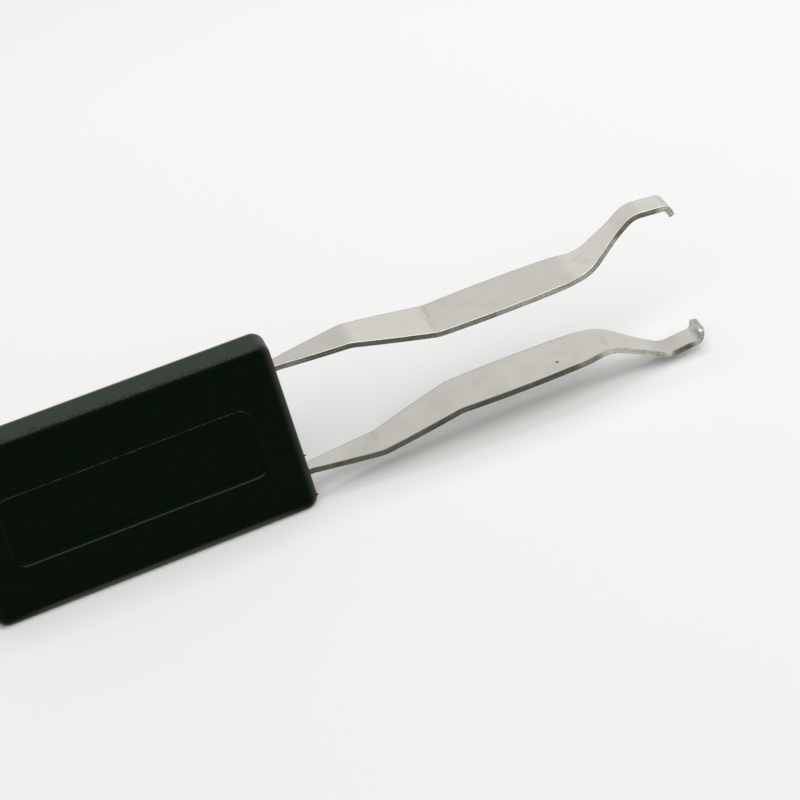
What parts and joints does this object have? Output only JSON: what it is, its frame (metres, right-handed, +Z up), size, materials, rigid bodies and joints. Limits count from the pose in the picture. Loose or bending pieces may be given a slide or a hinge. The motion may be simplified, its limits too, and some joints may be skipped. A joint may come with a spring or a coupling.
{
  "type": "keycap puller",
  "caption": "Hand tool with a flat black moulded handle and a folded spring-steel strip whose leaf-shaped legs end in inward hooks that grip and lift keycaps and switches.",
  "frame": {"origin": "centre of the handle's long narrow side that the puller stands on", "axes": "+X along the puller towards the hooks, +Y through the handle's thickness, +Z up from the narrow side it stands on"},
  "size_m": [0.0898, 0.0078, 0.0232],
  "materials": {
    "black_plastic": "moulded satin black",
    "spring_steel": "plain rolled sheet with sheared edges"
  },
  "bodies": {
    "root": {"handle": "black_plastic", "spring_legs": "spring_steel"}
  },
  "joints": []
}
